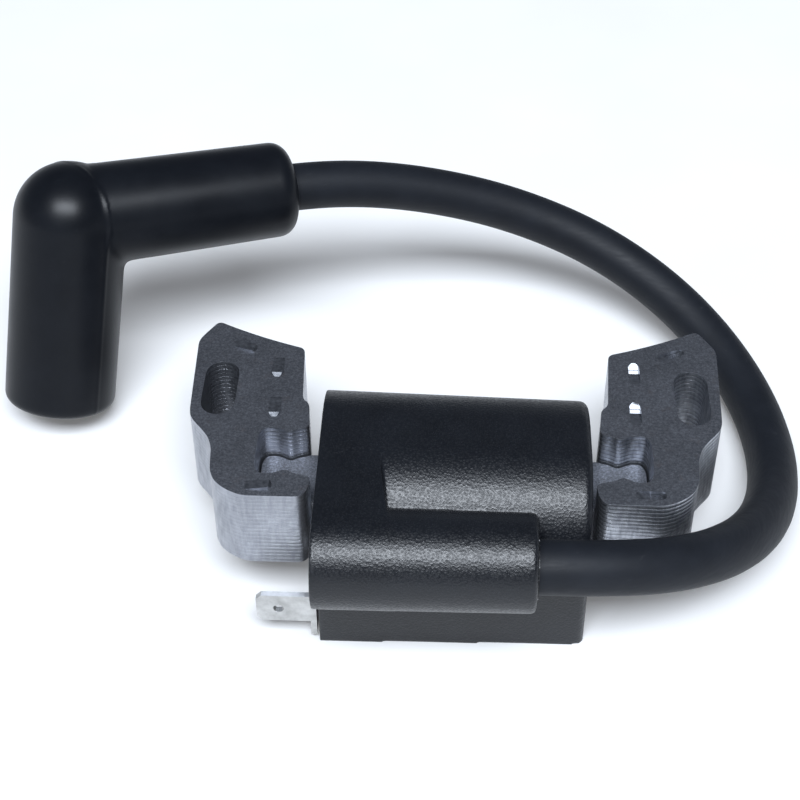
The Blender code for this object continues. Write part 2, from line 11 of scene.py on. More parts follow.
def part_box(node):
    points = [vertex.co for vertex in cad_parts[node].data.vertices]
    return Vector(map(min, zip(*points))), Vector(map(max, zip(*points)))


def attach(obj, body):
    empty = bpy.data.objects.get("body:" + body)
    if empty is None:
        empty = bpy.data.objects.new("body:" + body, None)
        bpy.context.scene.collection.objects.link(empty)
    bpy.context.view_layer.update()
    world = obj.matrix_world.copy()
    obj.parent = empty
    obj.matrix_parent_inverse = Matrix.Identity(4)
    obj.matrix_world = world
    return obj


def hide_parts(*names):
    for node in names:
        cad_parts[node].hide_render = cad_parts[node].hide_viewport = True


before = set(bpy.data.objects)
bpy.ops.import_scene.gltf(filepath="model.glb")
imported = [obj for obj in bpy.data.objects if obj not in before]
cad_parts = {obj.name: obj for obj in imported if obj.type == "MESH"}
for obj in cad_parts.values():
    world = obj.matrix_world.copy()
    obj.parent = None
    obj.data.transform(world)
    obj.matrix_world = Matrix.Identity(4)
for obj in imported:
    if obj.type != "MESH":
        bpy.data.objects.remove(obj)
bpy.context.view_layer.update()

MM = 0.001

# Places and sizes in millimetres, the same as the frame's
CORE_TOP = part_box("right_lamination_18")[1].z / MM
CORE_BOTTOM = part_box("left_lamination_01")[0].z / MM
SHEETS = 18
SHEET_PITCH = (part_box("left_lamination_02")[0].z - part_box("left_lamination_01")[0].z) / MM
# Each arm: side, its direction along X, the rounding of its sheets' rims and their thickness
ARMS = (("left", -1, 0.03, 0.66), ("right", 1, 0.12, 0.63))
TOP_RIM = 0.14
CORNER_REACH = 0.45
# Each interlock dimple of the right arm: X, Y, length, and turn about Z in degrees
DIMPLE_PLACES = ((29.5, 20.6, 4.2, 26), (24.3, 16.6, 4.6, 90), (24.0, 8.6, 4.6, 90), (25.0, -6.55, 4.0, 0))
DIMPLE_WIDTH, DIMPLE_DEPTH, DIMPLE_HEIGHT = 1.5, 1.0, 0.5
# Where a dimple is deepest or highest, as a share of its half length
RECESS_TURNING_POINT, BUMP_TURNING_POINT = 0.5, -0.8
# Middle of a mounting slot, and half the size of a box just around it
SLOT_X, SLOT_Y = 31.75, 11.9
SLOT_REACH_X, SLOT_REACH_Y = 2.6, 5.7
BAR_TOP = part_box("core_bar")[1].z / MM
BAR_SHEETS = 11
BAR_SHEET_GAP = 0.04
BAR_HALF_WIDTH = 4.3
BAR_CLEARANCE = 0.3
HOUSING_LEFT, HOUSING_RIGHT = -17.1, 17.6
HOUSING_HALF_WIDTH = 13.75
HOUSING_HEIGHT = 25.4
CROWN_RADIUS = 11.2
WALL = 1.5
DRAFT = 0.0014
RIGHT_EDGE_ROUND = 1.1
BRIDGE_FRONT_X = -8.0
BRIDGE_SLANT = 0.148
BRIDGE_RADIUS = 6.35
TOWER_RADIUS = 6.2
TOWER_ROOT_RADIUS = 6.37
TOWER_Y, TOWER_Z = -16.6, 19.1
TOWER_MOUTH = 10.5
BORE_Y, BORE_Z, BORE_RADIUS = -16.75, 18.6, 3.9
BORE_BOTTOM = -6.5
BORE_MOUTH_RADIUS, BORE_MOUTH_DEPTH = 4.45, 1.1
COLLAR_MARGIN, COLLAR_CLEARANCE = 0.75, 0.2
SKIN_VOXEL = 0.24
LEAD_DIAMETER = 7.0
BOOT_ELBOW = Vector((-55.75, 37.85, 30.0))
BOOT_ENTRY = Vector((-25.35, 49.95, 27.5))
BOOT_MOUTH = Vector((-59.2, 28.5, 3.2))
CABLE_LEG = (BOOT_ENTRY - BOOT_ELBOW).normalized()
PLUG_LEG = (BOOT_MOUTH - BOOT_ELBOW).normalized()
CABLE_LEG_LENGTH = (BOOT_ENTRY - BOOT_ELBOW).length
PLUG_LEG_LENGTH = (BOOT_MOUTH - BOOT_ELBOW).length
PLUG_LEG_RADIUS = 8.1
CABLE_LEG_RADIUS, CABLE_LEG_ROOT_RADIUS = 7.0, 7.35
SOCKET_RADIUS = 5.2
ENTRY_ROUND = 2.6
MOUTH_ROUND = 1.4
FILLET_REACH = 4.5
# The boot's parting plane holds the plug leg's axis and is turned about it
PARTING_TURN = Matrix.Rotation(math.radians(-142.5), 3, PLUG_LEG)
PARTING_NORMAL = (PARTING_TURN @ PLUG_LEG.cross((1.0, 0.0, 0.0))).normalized()
RIDGE_HEIGHT, RIDGE_WIDTH, STEP_HEIGHT = 0.07, 0.3, 0.03

# The lead's route from inside the tower to inside the boot
LEAD_ROUTE = [
    (-2.0, -16.75, 18.6), (4.0, -16.75, 18.6), (10.9, -16.75, 18.6), (17.05, -16.2, 18.05),
    (21.5, -15.25, 17.25), (26.2, -13.55, 15.95), (30.15, -11.4, 14.55), (33.4, -8.95, 13.1),
    (36.5, -5.9, 11.5), (39.05, -2.6, 9.95), (43.1, 5.65, 6.9), (45.05, 14.25, 4.8), (45.35, 22.2, 3.8),
    (44.4, 29.4, 3.7), (42.1, 36.65, 4.45), (38.35, 43.5, 6.05), (33.4, 49.1, 8.25), (27.4, 53.4, 10.85),
    (20.2, 56.4, 13.85), (12.75, 57.75, 16.75), (5.0, 57.8, 19.65), (-2.85, 56.75, 22.35),
    (-10.65, 54.95, 24.7), (-18.35, 52.55, 26.5),
]
LEAD_ROUTE += [tuple(BOOT_ENTRY - CABLE_LEG * depth) for depth in (0.0, 6.0, 20.0)]

# Light and camera, metres, watts and degrees
KEY_PLACE, KEY_TARGET = (0.0, -0.72, 1.2), (0.0, 0.02, 0.0)
KEY_SIZE = (1.0, 0.46)
KEY_ENERGY = 34.0
FLOOR_GLOW = 0.15
CAMERA_PLACE = (-0.0001, -0.15836, 0.17431)
CAMERA_HEADING, CAMERA_TILT, CAMERA_ROLL = 2.47, 47.8, -0.31
CAMERA_LENS = 76.5


# Mesh helpers, all in millimetres

def add_mesh(name, mesh):
    thing = bpy.data.objects.new(name, mesh)
    bpy.context.scene.collection.objects.link(thing)
    return thing


def plain_mesh(thing, name):
    """Replaces a curve or a stack of modifiers by its mesh, welded, in world space."""
    bpy.context.view_layer.update()
    evaluated = thing.evaluated_get(bpy.context.evaluated_depsgraph_get())
    mesh = bpy.data.meshes.new_from_object(evaluated)
    mesh.transform(thing.matrix_world)
    edit = bmesh.new()
    edit.from_mesh(mesh)
    bmesh.ops.remove_doubles(edit, verts=edit.verts, dist=1e-6)
    bmesh.ops.recalc_face_normals(edit, faces=edit.faces)
    edit.to_mesh(mesh)
    edit.free()
    bpy.data.objects.remove(thing, do_unlink=True)
    return add_mesh(name, mesh)


def outline_solid(name, outlines, low, high, along="Z"):
    curve = bpy.data.curves.new(name, "CURVE")
    curve.dimensions = "2D"
    curve.fill_mode = "BOTH"
    curve.extrude = (high - low) / 2 * MM
    for outline in outlines:
        spline = curve.splines.new("POLY")
        spline.points.add(len(outline) - 1)
        for point, (across, up) in zip(spline.points, outline):
            point.co = (across * MM, up * MM, 0.0, 1.0)
        spline.use_cyclic_u = True
    thing = bpy.data.objects.new(name, curve)
    bpy.context.scene.collection.objects.link(thing)
    middle = (low + high) / 2 * MM
    if along == "X":
        thing.matrix_world = Matrix(((0, 0, 1, middle), (1, 0, 0, 0), (0, 1, 0, 0), (0, 0, 0, 1)))
    elif along == "Y":
        thing.matrix_world = Matrix(((1, 0, 0, 0), (0, 0, -1, middle), (0, 1, 0, 0), (0, 0, 0, 1)))
    else:
        thing.location.z = middle
    return plain_mesh(thing, name)


def block(name, low, high):
    edit = bmesh.new()
    size = [(top - bottom) * MM for bottom, top in zip(low, high)]
    centre = [(bottom + top) / 2 * MM for bottom, top in zip(low, high)]
    placed = Matrix.Translation(centre) @ Matrix.Diagonal((*size, 1.0))
    bmesh.ops.create_cube(edit, size=1.0, matrix=placed)
    mesh = bpy.data.meshes.new(name)
    edit.to_mesh(mesh)
    edit.free()
    return add_mesh(name, mesh)


def turned(name, profile, origin, direction, sides=96):
    """A solid of revolution: profile holds (radius, distance) pairs, farthest distance first."""
    mesh = bpy.data.meshes.new(name)
    mesh.from_pydata([(radius * MM, 0.0, along * MM) for radius, along in profile],
                     [(step, step + 1) for step in range(len(profile) - 1)], [])
    thing = add_mesh(name, mesh)
    screw = thing.modifiers.new("turn", "SCREW")
    screw.steps = screw.render_steps = sides
    screw.use_merge_vertices = True
    screw.merge_threshold = 1e-6
    rotation = direction.to_track_quat("Z", "Y").to_matrix().to_4x4()
    thing.matrix_world = Matrix.Translation(Vector(origin) * MM) @ rotation
    return plain_mesh(thing, name)


def rod(name, radius, start, end, origin, direction, sides=96):
    profile = [(0.0, end), (radius, end), (radius, start), (0.0, start)]
    return turned(name, profile, origin, direction, sides)


def combine(thing, others, operation):
    name = thing.name
    for other in others:
        boolean = thing.modifiers.new(operation.lower(), "BOOLEAN")
        boolean.operation = operation
        boolean.object = other
        thing = plain_mesh(thing, name)
        bpy.data.objects.remove(other, do_unlink=True)
    return thing


def arc(centre, radius, start, end, steps):
    angles = np.radians(np.linspace(start, end, steps + 1))
    return [(centre[0] + radius * math.cos(a), centre[1] + radius * math.sin(a)) for a in angles]


def smooth_path(route, spacing):
    """Evenly spaced points on the natural cubic spline through the route."""
    knots = np.array(route, float)
    count = len(knots)
    lengths = np.linalg.norm(np.diff(knots, axis=0), axis=1)
    at = np.concatenate([[0.0], np.cumsum(lengths)])
    system = np.eye(count)
    right = np.zeros_like(knots)
    for i in range(1, count - 1):
        before, after = lengths[i - 1], lengths[i]
        system[i, i - 1:i + 2] = (before, 2 * (before + after), after)
        right[i] = 6 * ((knots[i + 1] - knots[i]) / after - (knots[i] - knots[i - 1]) / before)
    bend = np.linalg.solve(system, right)
    steps = max(2, round(at[-1] / spacing))
    points = []
    for s in np.linspace(0.0, at[-1], steps + 1):
        i = min(int(np.searchsorted(at, s, side="right")) - 1, count - 2)
        span = lengths[i]
        a, b = (at[i + 1] - s) / span, (s - at[i]) / span
        points.append(a * knots[i] + b * knots[i + 1]
                      + ((a ** 3 - a) * bend[i] + (b ** 3 - b) * bend[i + 1]) * span ** 2 / 6)
    return np.array(points)


def remeshed(thing, voxel, rounds, factor=0.5):
    """One even skin with softly rounded edges, as a moulding has."""
    remesh = thing.modifiers.new("remesh", "REMESH")
    remesh.mode = "VOXEL"
    remesh.voxel_size = voxel * MM
    smooth = thing.modifiers.new("smooth", "SMOOTH")
    smooth.factor = factor
    smooth.iterations = rounds
    thing = plain_mesh(thing, thing.name)
    thing.data.shade_smooth()
    return thing


def soften_edges(thing, width, angle=30, segments=2):
    bevel = thing.modifiers.new("edge", "BEVEL")
    bevel.width = width * MM
    bevel.segments = segments
    bevel.limit_method = "ANGLE"
    bevel.angle_limit = math.radians(angle)
    thing = plain_mesh(thing, thing.name)
    thing.data.shade_smooth()
    thing.data.set_sharp_from_angle(angle=math.radians(35))
    return thing


# Material helpers

def new_material(name, roughness, metallic=0.0, specular=0.5):
    material = bpy.data.materials.new(name)
    material.use_nodes = True
    shader = material.node_tree.nodes["Principled BSDF"]
    shader.inputs["Roughness"].default_value = roughness
    shader.inputs["Metallic"].default_value = metallic
    shader.inputs["Specular IOR Level"].default_value = specular
    return material, material.node_tree, shader


def link(tree, source, target):
    tree.links.new(source, target)


def place(tree, stretch=(1, 1, 1), rotation=(0, 0, 0)):
    """Coordinates in millimetres, each axis multiplied by its stretch."""
    coordinates = tree.nodes.new("ShaderNodeTexCoord")
    mapping = tree.nodes.new("ShaderNodeMapping")
    mapping.inputs["Scale"].default_value = [s / MM for s in stretch]
    mapping.inputs["Rotation"].default_value = rotation
    link(tree, coordinates.outputs["Object"], mapping.inputs["Vector"])
    return mapping.outputs["Vector"]


def noise(tree, vector, size, detail=3.0, roughness=0.55):
    """Noise whose features are about size millimetres."""
    node = tree.nodes.new("ShaderNodeTexNoise")
    node.inputs["Scale"].default_value = 1.0 / size
    node.inputs["Detail"].default_value = detail
    node.inputs["Roughness"].default_value = roughness
    link(tree, vector, node.inputs["Vector"])
    return node.outputs["Fac"]


def ramp(tree, value, stops):
    """stops: (position, grey or colour) pairs."""
    node = tree.nodes.new("ShaderNodeValToRGB")
    elements = node.color_ramp.elements
    while len(elements) < len(stops):
        elements.new(0.5)
    for element, (position, colour) in zip(elements, stops):
        element.position = position
        parts = colour if hasattr(colour, "__len__") else (colour, colour, colour)
        element.color = (*parts, 1.0)
    link(tree, value, node.inputs["Fac"])
    return node.outputs["Color"]


def mix_colours(tree, factor, first, second, mode="MIX"):
    node = tree.nodes.new("ShaderNodeMix")
    node.data_type = "RGBA"
    node.blend_type = mode
    sockets = (node.inputs["Factor"], node.inputs[6], node.inputs[7])
    for socket, value in zip(sockets, (factor, first, second)):
        if isinstance(value, bpy.types.NodeSocket):
            link(tree, value, socket)
        elif hasattr(value, "__len__"):
            socket.default_value = (*value, 1.0)
        else:
            socket.default_value = value
    return node.outputs[2]


def maths(tree, operation, first, second=0.0):
    node = tree.nodes.new("ShaderNodeMath")
    node.operation = operation
    for socket, value in zip(node.inputs, (first, second)):
        if isinstance(value, bpy.types.NodeSocket):
            link(tree, value, socket)
        else:
            socket.default_value = value
    return node.outputs[0]


def bump(tree, shader, height, strength, distance, before=None):
    node = tree.nodes.new("ShaderNodeBump")
    node.inputs["Strength"].default_value = strength
    node.inputs["Distance"].default_value = distance * MM
    link(tree, height, node.inputs["Height"])
    if before is not None:
        link(tree, before, node.inputs["Normal"])
    link(tree, node.outputs["Normal"], shader.inputs["Normal"])
    return node.outputs["Normal"]


# Materials

def sheet_face_material(name, light):
    """Flat side of an electrical steel sheet: oil-coated dark grey, a fine coating grain and a few scuffs.
    """
    material, tree, shader = new_material(name, 0.5, 0.8)
    where = place(tree)
    cloud = noise(tree, where, 5.0, 4.0, 0.6)
    grain = noise(tree, where, 0.32, 4.0, 0.8)
    speckle = noise(tree, where, 0.2, 2.0, 0.6)
    dark, middle, bright = [[light * part for part in colour] for colour in
                            ((0.075, 0.079, 0.091), (0.14, 0.147, 0.166), (0.25, 0.26, 0.292))]
    tone = ramp(tree, grain, [(0.32, dark), (0.5, middle), (0.68, bright)])
    tone = mix_colours(tree, 0.6, tone, ramp(tree, cloud, [(0.35, 0.72), (0.65, 1.0)]), "MULTIPLY")
    brown = ramp(tree, noise(tree, where, 1.5, 5.0, 0.7), [(0.58, 0.0), (0.72, 0.3)])
    tone = mix_colours(tree, brown, tone, (0.15, 0.12, 0.11))
    scuffs = ramp(tree, noise(tree, place(tree, (1.0, 1.0, 1.0), (0.0, 0.0, 0.6)), 0.3, 6.0, 0.8),
                  [(0.66, 0.0), (0.7, 1.0)])
    patch = ramp(tree, noise(tree, where, 9.0, 2.0, 0.4), [(0.5, 0.0), (0.6, 0.8)])
    tone = mix_colours(tree, maths(tree, "MULTIPLY", scuffs, patch), tone, (0.62, 0.64, 0.68))
    link(tree, tone, shader.inputs["Base Color"])
    link(tree, ramp(tree, grain, [(0.3, 0.62), (0.7, 0.46)]), shader.inputs["Roughness"])
    first = bump(tree, shader, grain, 0.5, 0.05)
    bump(tree, shader, speckle, 0.35, 0.02, first)
    return material


def sheet_edge_material(name, dark, light, seam_shade):
    """Sheared edge of a sheet: a bright burnish zone over a duller torn one, with fine die streaks, and
    painted shade darkening the seam between two sheets.
    The last argument says how dark that painted seam shade is."""
    material, tree, shader = new_material(name, 0.4, 0.92)
    streaks = noise(tree, place(tree, (1.0, 1.0, 0.3)), 0.6, 4.0, 0.6)
    coarse = noise(tree, place(tree, (1.0, 1.0, 0.4)), 3.0, 3.0, 0.5)
    separate = tree.nodes.new("ShaderNodeSeparateXYZ")
    link(tree, place(tree), separate.inputs["Vector"])
    above = maths(tree, "SUBTRACT", separate.outputs["Z"], CORE_BOTTOM)
    level = maths(tree, "DIVIDE", above, SHEET_PITCH)
    # Painted shade darkens the seam between two sheets; between the seams the band is the real brighter
    # burnish zone and duller torn zone
    seam = 1.0 - seam_shade
    band = ramp(tree, maths(tree, "FRACT", level),
                [(0.0, seam), (0.2, 0.5 + seam / 2), (0.5, 0.9), (0.65, 1.0), (0.85, 1.0), (0.97, seam)])
    tone = ramp(tree, streaks, [(0.3, dark), (0.7, light)])
    tone = mix_colours(tree, 1.0, tone, band, "MULTIPLY")
    tone = mix_colours(tree, 0.5, tone, ramp(tree, coarse, [(0.35, 0.7), (0.65, 1.0)]), "MULTIPLY")
    link(tree, tone, shader.inputs["Base Color"])
    link(tree, ramp(tree, streaks, [(0.3, 0.42), (0.7, 0.28)]), shader.inputs["Roughness"])
    bump(tree, shader, streaks, 0.2, 0.02)
    return material


def housing_material():
    """Glass-filled black moulding with a fine spark-eroded grain that sparkles in the light."""
    material, tree, shader = new_material("housing_grain", 0.36, 0.0, 0.47)
    where = place(tree)
    pebbles = tree.nodes.new("ShaderNodeTexVoronoi")
    pebbles.inputs["Scale"].default_value = 1.0 / 0.34
    link(tree, where, pebbles.inputs["Vector"])
    grain = pebbles.outputs["Distance"]
    fine = noise(tree, where, 0.13, 1.0)
    cloud = noise(tree, where, 6.0, 4.0, 0.55)
    tone = ramp(tree, cloud, [(0.3, (0.004, 0.0048, 0.0068)), (0.7, (0.0064, 0.0076, 0.0104))])
    speck = ramp(tree, fine, [(0.62, 0.0), (0.7, 0.3)])
    tone = mix_colours(tree, speck, tone, (0.04, 0.045, 0.056))
    link(tree, tone, shader.inputs["Base Color"])
    link(tree, ramp(tree, grain, [(0.2, 0.46), (0.7, 0.3)]), shader.inputs["Roughness"])
    first = bump(tree, shader, grain, 0.6, 0.05)
    bump(tree, shader, fine, 0.9, 0.03, first)
    return material


def lead_material():
    """Extruded rubber jacket: matte, faint drawn lines along it and a few scuffs."""
    material, tree, shader = new_material("lead_rubber", 0.58, 0.0, 0.26)
    where = place(tree)
    fine = noise(tree, where, 0.16, 3.0, 0.6)
    cloud = noise(tree, where, 5.0, 4.0, 0.6)
    scuff = noise(tree, place(tree, (0.25, 0.25, 2.2)), 0.7, 5.0, 0.65)
    tone = ramp(tree, cloud, [(0.3, (0.0062, 0.0076, 0.011)), (0.7, (0.0092, 0.0112, 0.0158))])
    dust = ramp(tree, scuff, [(0.64, 0.0), (0.78, 0.3)])
    tone = mix_colours(tree, dust, tone, (0.06, 0.062, 0.068))
    link(tree, tone, shader.inputs["Base Color"])
    link(tree, ramp(tree, scuff, [(0.35, 0.52), (0.75, 0.66)]), shader.inputs["Roughness"])
    bump(tree, shader, fine, 0.5, 0.03)
    return material


def boot_material():
    """Moulded rubber: satin, nearly smooth, with a dusty bloom."""
    material, tree, shader = new_material("boot_satin", 0.36, 0.0, 0.2)
    where = place(tree)
    fine = noise(tree, where, 0.2, 3.0, 0.6)
    cloud = noise(tree, where, 7.0, 5.0, 0.6)
    tone = ramp(tree, cloud, [(0.3, (0.0036, 0.0044, 0.0064)), (0.7, (0.0056, 0.0068, 0.0095))])
    bloom = ramp(tree, noise(tree, where, 1.3, 6.0, 0.7), [(0.6, 0.0), (0.8, 0.2)])
    tone = mix_colours(tree, bloom, tone, (0.022, 0.025, 0.031))
    link(tree, tone, shader.inputs["Base Color"])
    link(tree, ramp(tree, cloud, [(0.3, 0.32), (0.7, 0.4)]), shader.inputs["Roughness"])
    bump(tree, shader, fine, 0.3, 0.025)
    return material


def tin_material():
    """Bright tin plate with fine scratches and dull patches."""
    material, tree, shader = new_material("tin_plate", 0.3, 0.9)
    where = place(tree)
    patches = noise(tree, where, 1.6, 5.0, 0.6)
    scratches = noise(tree, place(tree, (0.15, 1.0, 2.4), (0.0, 0.2, 0.0)), 0.14, 3.0, 0.6)
    tone = ramp(tree, patches, [(0.3, (0.4, 0.4, 0.39)), (0.7, (0.64, 0.64, 0.63))])
    link(tree, tone, shader.inputs["Base Color"])
    link(tree, ramp(tree, scratches, [(0.3, 0.28), (0.7, 0.46)]), shader.inputs["Roughness"])
    bump(tree, shader, scratches, 0.25, 0.02)
    return material


def cast_material(name, dark, light, roughness, size, metallic=0.0):
    """Plain cast or moulded stuff with slow colour drift and a fine uneven skin."""
    material, tree, shader = new_material(name, roughness, metallic)
    where = place(tree)
    drift = noise(tree, where, size, 5.0, 0.6)
    link(tree, ramp(tree, drift, [(0.3, dark), (0.7, light)]), shader.inputs["Base Color"])
    link(tree, ramp(tree, drift, [(0.3, roughness * 0.85), (0.7, min(1.0, roughness * 1.2))]),
         shader.inputs["Roughness"])
    bump(tree, shader, noise(tree, where, size * 0.2, 3.0), 0.25, 0.03)
    return material


def sealant_material():
    """Black sealant with a few pale specks of dust on it."""
    material, tree, shader = new_material("sealant_skin", 0.45, 0.0, 0.4)
    where = place(tree)
    specks = ramp(tree, noise(tree, where, 0.5, 1.0), [(0.66, 0.0), (0.7, 1.0)])
    tone = mix_colours(tree, specks, (0.006, 0.0065, 0.0075), (0.5, 0.5, 0.52))
    link(tree, tone, shader.inputs["Base Color"])
    bump(tree, shader, noise(tree, where, 0.4), 0.6, 0.1)
    return material


def winding_material():
    """Enamelled copper wire wound side by side around X."""
    material, tree, shader = new_material("winding_wire", 0.32, 0.9)
    wave = tree.nodes.new("ShaderNodeTexWave")
    wave.wave_type = "BANDS"
    wave.bands_direction = "X"
    wave.inputs["Scale"].default_value = 0.8
    wave.inputs["Distortion"].default_value = 0.6
    wave.inputs["Detail"].default_value = 1.0
    link(tree, place(tree), wave.inputs["Vector"])
    tone = ramp(tree, wave.outputs["Fac"], [(0.1, (0.2, 0.055, 0.02)), (0.8, (0.72, 0.3, 0.13))])
    link(tree, tone, shader.inputs["Base Color"])
    polish = noise(tree, place(tree), 1.0)
    link(tree, ramp(tree, polish, [(0.3, 0.25), (0.7, 0.4)]), shader.inputs["Roughness"])
    bump(tree, shader, wave.outputs["Fac"], 0.6, 0.12)
    return material


def dress(thing, materials):
    thing.data.materials.clear()
    for material in materials:
        thing.data.materials.append(material)


# Pieces

def stand_for(thing, node, body="coil"):
    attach(thing, body)
    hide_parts(node)


def in_dimple(centre):
    """Whether a point, in metres, is over one of the interlock dimples of either arm."""
    for x, y, length, turn in DIMPLE_PLACES:
        across, up, angle = abs(centre.x) / MM - x, centre.y / MM - y, math.radians(turn)
        along = across * math.cos(angle) + up * math.sin(angle)
        beside = up * math.cos(angle) - across * math.sin(angle)
        if abs(along) < length / 2 + 0.05 and abs(beside) < DIMPLE_WIDTH / 2 + 0.05:
            return True
    return False


def in_left_slot(centre):
    """Whether a point, in metres, is on the wall of the left arm's mounting slot, which gets painted shade.
    """
    beside, along = abs(centre.x / MM + SLOT_X), abs(centre.y / MM - SLOT_Y)
    return beside < SLOT_REACH_X and along < SLOT_REACH_Y


def dress_sheet(sheet, steels, on_top=False):
    """The steels are for flat sides, the sheared rim, slopes with a painted glint, and slopes with painted
    shade, in this order.
    Slopes are on dimples, and on the front of the top sheet's rim: those facing the front get the painted
    glint, the other dimple slopes get the painted shade. The left slot's wall gets the painted shade too."""
    dress(sheet, steels)
    for polygon in sheet.data.polygons:
        level, to_front = abs(polygon.normal.z), polygon.normal.y < -0.2
        polygon.material_index = 0 if level > 0.97 else 1
        if 0.3 < level < 0.995 and in_dimple(polygon.center):
            # Painted glint on dimple slopes that face the front, painted shade on the other dimple slopes
            polygon.material_index = 2 if to_front else 3
        elif 0.3 < level < 0.97 and on_top and to_front:
            # Painted glint on the front of the top sheet's rim
            polygon.material_index = 2
        # Painted shade on the wall of the left arm's mounting slot
        elif level < 0.3 and in_left_slot(polygon.center):
            polygon.material_index = 3
        polygon.use_smooth = level < 0.995


def face_outlines(node):
    """The outline of a sheet's flat side and of each hole in it, as (X, Y) points, from its CAD node."""
    edit = bmesh.new()
    edit.from_mesh(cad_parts[node].data)
    bmesh.ops.remove_doubles(edit, verts=edit.verts, dist=1e-6)
    following = {}
    for edge in edit.edges:
        for loop in edge.link_loops:
            if loop.face.normal.z > 0.9 and loop.link_loop_radial_next.face.normal.z < 0.9:
                following[loop.vert.index] = (loop.link_loop_next.vert.index, loop.vert.co / MM)
    edit.free()
    outlines = []
    while following:
        start = here = next(iter(following))
        outline = []
        while here in following:
            ahead, point = following.pop(here)
            outline.append((point.x, point.y))
            here = ahead
        outlines.append(outline)
    return outlines


def eased(outline, reach=CORNER_REACH, rounds=3):
    """The outline with each corner cut back a little, again and again, into a small round."""
    for _ in range(rounds):
        cut = []
        for index, here in enumerate(outline):
            here = Vector(here)
            for other in (outline[index - 1], outline[(index + 1) % len(outline)]):
                step = Vector(other) - here
                cut.append(tuple(here + step * min(0.25, reach / max(step.length, 1e-6))))
        outline = cut
        reach /= 2
    return outline


def dimples(side, vee, turning_point):
    """Vee-shaped prisms with round ends, up or down from an arm's top face at its interlock dimples."""
    away = -0.05 if vee > 0 else 0.05
    prisms = []
    for x, y, length, turn in DIMPLE_PLACES:
        half = length / 2
        backing = [(-half, away), (-half, 6 * away), (half, 6 * away), (half, away)]
        section = backing + [(turning_point * half, vee)]
        prism = outline_solid("dimple", [section], -DIMPLE_WIDTH / 2, DIMPLE_WIDTH / 2, "Y")
        radius = DIMPLE_WIDTH / 2
        punch = (arc((half - radius, 0.0), radius, -90, 90, 8)
                 + arc((radius - half, 0.0), radius, 90, 270, 8))
        prism = combine(prism, [outline_solid("punch", [punch], -2.0, 2.0)], "INTERSECT")
        angle = turn if side > 0 else 180 - turn
        prism.matrix_world = (Matrix.Translation(Vector((side * x, y, CORE_TOP)) * MM)
                              @ Matrix.Rotation(math.radians(angle), 4, "Z"))
        prisms.append(plain_mesh(prism, "dimple"))
    return prisms


def build_sheets(steels):
    """Each sheet of both arms, with rounded corners. The right arm's rims are rounder, so it looks more
    striped, and the interlock dimples are pressed down into it and stand up from the left arm."""
    for side, sign, rim, thickness in ARMS:
        outlines = [eased(outline) for outline in face_outlines(side + "_lamination_01")]
        for index in range(1, SHEETS + 1):
            node = "%s_lamination_%02d" % (side, index)
            low = CORE_BOTTOM + (index - 1) * SHEET_PITCH
            sheet = outline_solid(node.replace("lamination", "sheet"), outlines, low, low + thickness)
            sheet = soften_edges(sheet, TOP_RIM if index == SHEETS else rim, 60, 2)
            if side == "right" and index >= SHEETS - 1:
                recesses = dimples(sign, -DIMPLE_DEPTH, RECESS_TURNING_POINT)
                sheet = combine(sheet, recesses, "DIFFERENCE")
            elif side == "left" and index == SHEETS:
                bumps = dimples(sign, DIMPLE_HEIGHT, BUMP_TURNING_POINT)
                sheet = combine(sheet, bumps, "UNION")
            sheet.data.shade_smooth()
            sheet.data.set_sharp_from_angle(angle=math.radians(50))
            dress_sheet(sheet, steels[side], index == SHEETS)
            stand_for(sheet, node)


def bar_outline():
    end = [(17.9, -4.3), (19.0, -4.3), (19.8, -3.95), (20.6, -3.75), (21.56, -3.1), (22.4, -3.5),
           (23.4, -4.0), (24.6, -3.95), (25.0, -3.6), (25.4, -2.5)]
    right = end + [(x, -y) for x, y in reversed(end)]
    return right + [(-x, -y) for x, y in right]


def build_bar(face, edge):
    """The core bar as its own stack of sheets, joined in one mesh."""
    pitch = (BAR_TOP - CORE_BOTTOM) / BAR_SHEETS
    sheets = []
    for index in range(BAR_SHEETS):
        low = CORE_BOTTOM + index * pitch
        high = low + pitch - BAR_SHEET_GAP
        sheets.append(outline_solid("bar_sheet_%d" % index, [eased(bar_outline(), 0.3)], low, high))
    joined = bmesh.new()
    for sheet in sheets:
        joined.from_mesh(sheet.data)
        bpy.data.objects.remove(sheet, do_unlink=True)
    mesh = bpy.data.meshes.new("bar_stack")
    joined.to_mesh(mesh)
    joined.free()
    bar = soften_edges(add_mesh("bar_stack", mesh), 0.06, 60, 2)
    dress_sheet(bar, [face, edge])
    stand_for(bar, "core_bar")


def body_outline(inset=0.0):
    shoulder_y, shoulder_z = HOUSING_HALF_WIDTH - CROWN_RADIUS, HOUSING_HEIGHT - CROWN_RADIUS
    radius, half = CROWN_RADIUS - inset, HOUSING_HALF_WIDTH - inset
    return ([(-half, inset), (half, inset)]
            + arc((shoulder_y, shoulder_z), radius, 0, 90, 40)
            + arc((-shoulder_y, shoulder_z), radius, 90, 180, 40))


def bridge_outline(inset=0.0):
    radius = BRIDGE_RADIUS - inset
    return ([(2.0, TOWER_Z - radius), (2.0, TOWER_Z + radius)]
            + arc((TOWER_Y, TOWER_Z), radius, 90, 270, 48))


def slant_right_face(thing, inset=0.0):
    """Leans the bridge's right face back from the tower."""
    for vertex in thing.data.vertices:
        if vertex.co.x > (HOUSING_LEFT + 3) * MM:
            back = vertex.co.y + HOUSING_HALF_WIDTH * MM
            vertex.co.x = (BRIDGE_FRONT_X - inset) * MM - BRIDGE_SLANT * back


def taper(thing):
    """Moulding draft: the body is a little smaller at its closed right end."""
    edit = bmesh.new()
    edit.from_mesh(thing.data)
    for vertex in edit.verts:
        vertex.co.y *= 1 - DRAFT * vertex.co.x / MM
        vertex.co.z *= 1 - DRAFT / 2 * vertex.co.x / MM
    bmesh.ops.triangulate(edit, faces=edit.faces)
    edit.to_mesh(thing.data)
    edit.free()


